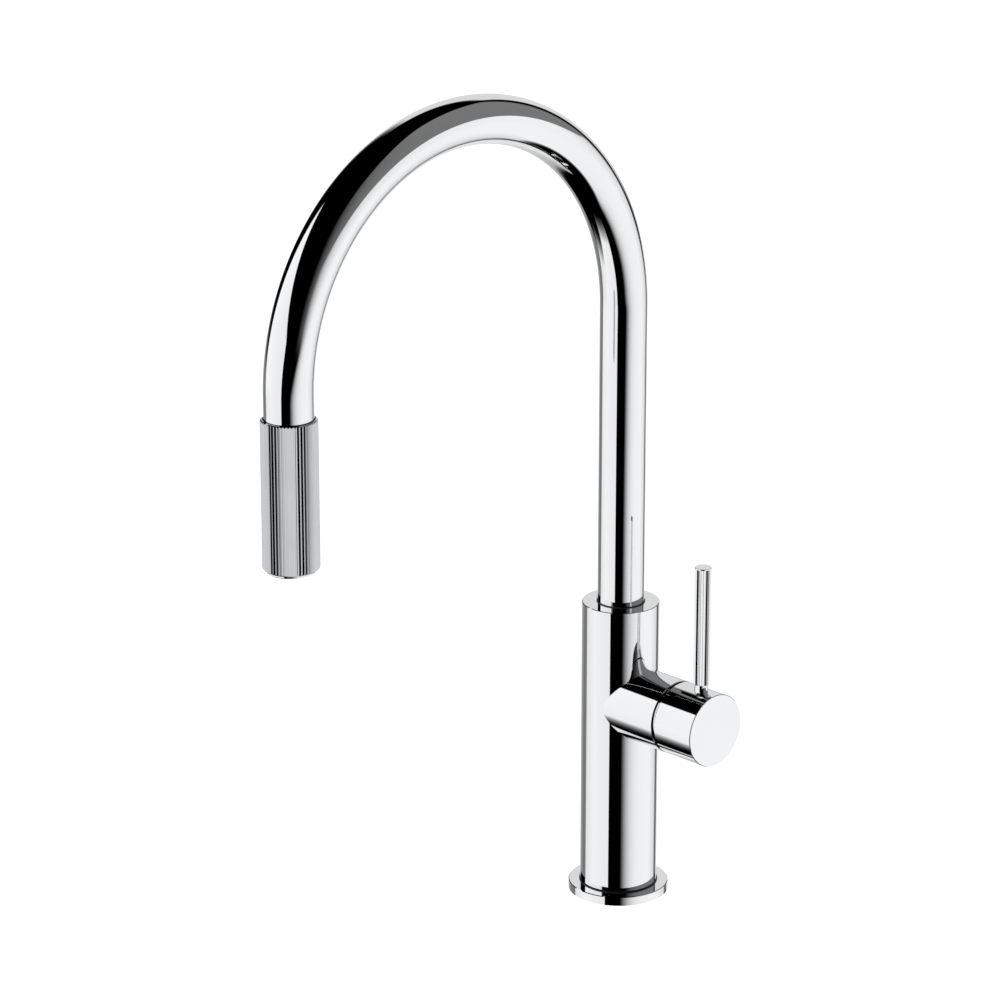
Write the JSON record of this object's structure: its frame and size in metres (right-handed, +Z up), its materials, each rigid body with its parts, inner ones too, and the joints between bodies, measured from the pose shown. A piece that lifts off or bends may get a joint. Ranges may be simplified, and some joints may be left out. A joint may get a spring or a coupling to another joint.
{
  "type": "pull down kitchen faucet",
  "caption": "Chrome gooseneck kitchen faucet with a pull-down spray head on a hose and a pin lever on the side of its body.",
  "frame": {"origin": "on the axis of the body, in the plane of the flange's underside, which is the top of the deck", "axes": "+Z up along the body's axis, -Y towards the spout's outlet, +X towards the side lever"},
  "size_m": [0.1092, 0.3074, 0.6094],
  "materials": {
    "polished_chrome": "mirror-polished chrome plate",
    "brass": "turned",
    "steel": "plain",
    "black_rubber": "matt",
    "dark_plastic": "satin",
    "white_plastic": "satin",
    "grey_plastic": "satin",
    "spray_face_plastic": "satin",
    "valve_ceramic": "lapped",
    "braided_hose": "tight braid"
  },
  "bodies": {
    "faucet_body": {"base_flange": "polished_chrome", "deck_gasket": "black_rubber", "foot_washer": "dark_plastic", "body_column": "polished_chrome", "side_branch": "polished_chrome", "shank_adapter": "brass", "threaded_shank": "brass", "waterway_block": "brass", "port_seals": "black_rubber", "cartridge_base": "white_plastic", "fixed_disc": "valve_ceramic", "cartridge_housing": "white_plastic", "cartridge_nut": "brass", "trim_dome": "polished_chrome", "spout_bush_lower": "white_plastic", "spout_bush_upper": "white_plastic", "spout_wiper_ring": "dark_plastic", "spout_stop_pin": "steel"},
    "deck_clamp": {"clamp_gasket": "black_rubber", "clamp_washer": "steel", "mounting_nut": "brass"},
    "spout": {"spout_tube": "polished_chrome", "spout_retainer_clip": "steel", "dock_bush": "white_plastic", "spray_hose": "braided_hose", "hose_inlet_fitting": "brass"},
    "hose_swivel": {"hose_coupling": "brass", "hose_end": "braided_hose", "coupling_seal": "black_rubber", "coupling_clip": "steel", "check_valve": "white_plastic"},
    "spray_head": {"spray_core": "grey_plastic", "spray_sleeve": "polished_chrome", "nozzle_ring": "polished_chrome", "spray_face": "spray_face_plastic", "stream_insert": "spray_face_plastic", "face_seal": "black_rubber", "flow_regulator": "white_plastic"},
    "valve_rotor": {"rotor": "white_plastic", "pivot_pin": "steel"},
    "disc_slide": {"disc_carrier": "white_plastic", "moving_disc": "valve_ceramic"},
    "handle": {"stem": "brass", "handle_hub": "polished_chrome", "lever_rod": "polished_chrome", "hub_set_screw": "steel"}
  },
  "joints": [
    {"name": "spout_swivel", "type": "hinge", "parent": "faucet_body", "child": "spout", "pos_m": [0, 0, 0.166], "axis": [0, 0, 1], "range_deg": [-120, 120]},
    {"name": "spray_pull", "type": "slide", "parent": "spout", "child": "hose_swivel", "axis": [0, 0, -1], "range_m": [0, 0.45], "stiffness_N_per_m": 6, "springref_m": -0.6, "deforming": ["hose_end"]},
    {"name": "spray_swivel", "type": "hinge", "parent": "hose_swivel", "child": "spray_head", "pos_m": [0, -0.261, 0.31], "axis": [0, 0, 1], "continuous": true},
    {"name": "handle_turn", "type": "hinge", "parent": "faucet_body", "child": "valve_rotor", "pos_m": [0.03, 0, 0.1244], "axis": [1, 0, 0], "range_deg": [-45, 45]},
    {"name": "handle_lift", "type": "hinge", "parent": "valve_rotor", "child": "handle", "pos_m": [0.027, 0, 0.1244], "axis": [0, 1, 0], "range_deg": [0, 18]},
    {"name": "disc_travel", "type": "slide", "parent": "valve_rotor", "child": "disc_slide", "axis": [0, 0, 1], "range_m": [0, 0.0011]},
    {"name": "clamp_travel", "type": "slide", "parent": "faucet_body", "child": "deck_clamp", "axis": [0, 0, 1], "range_m": [-0.018, 0.024]}
  ],
  "couplings": [
    {"joint": "disc_travel", "follows": "handle_lift", "m_per_rad": 0.0032}
  ]
}
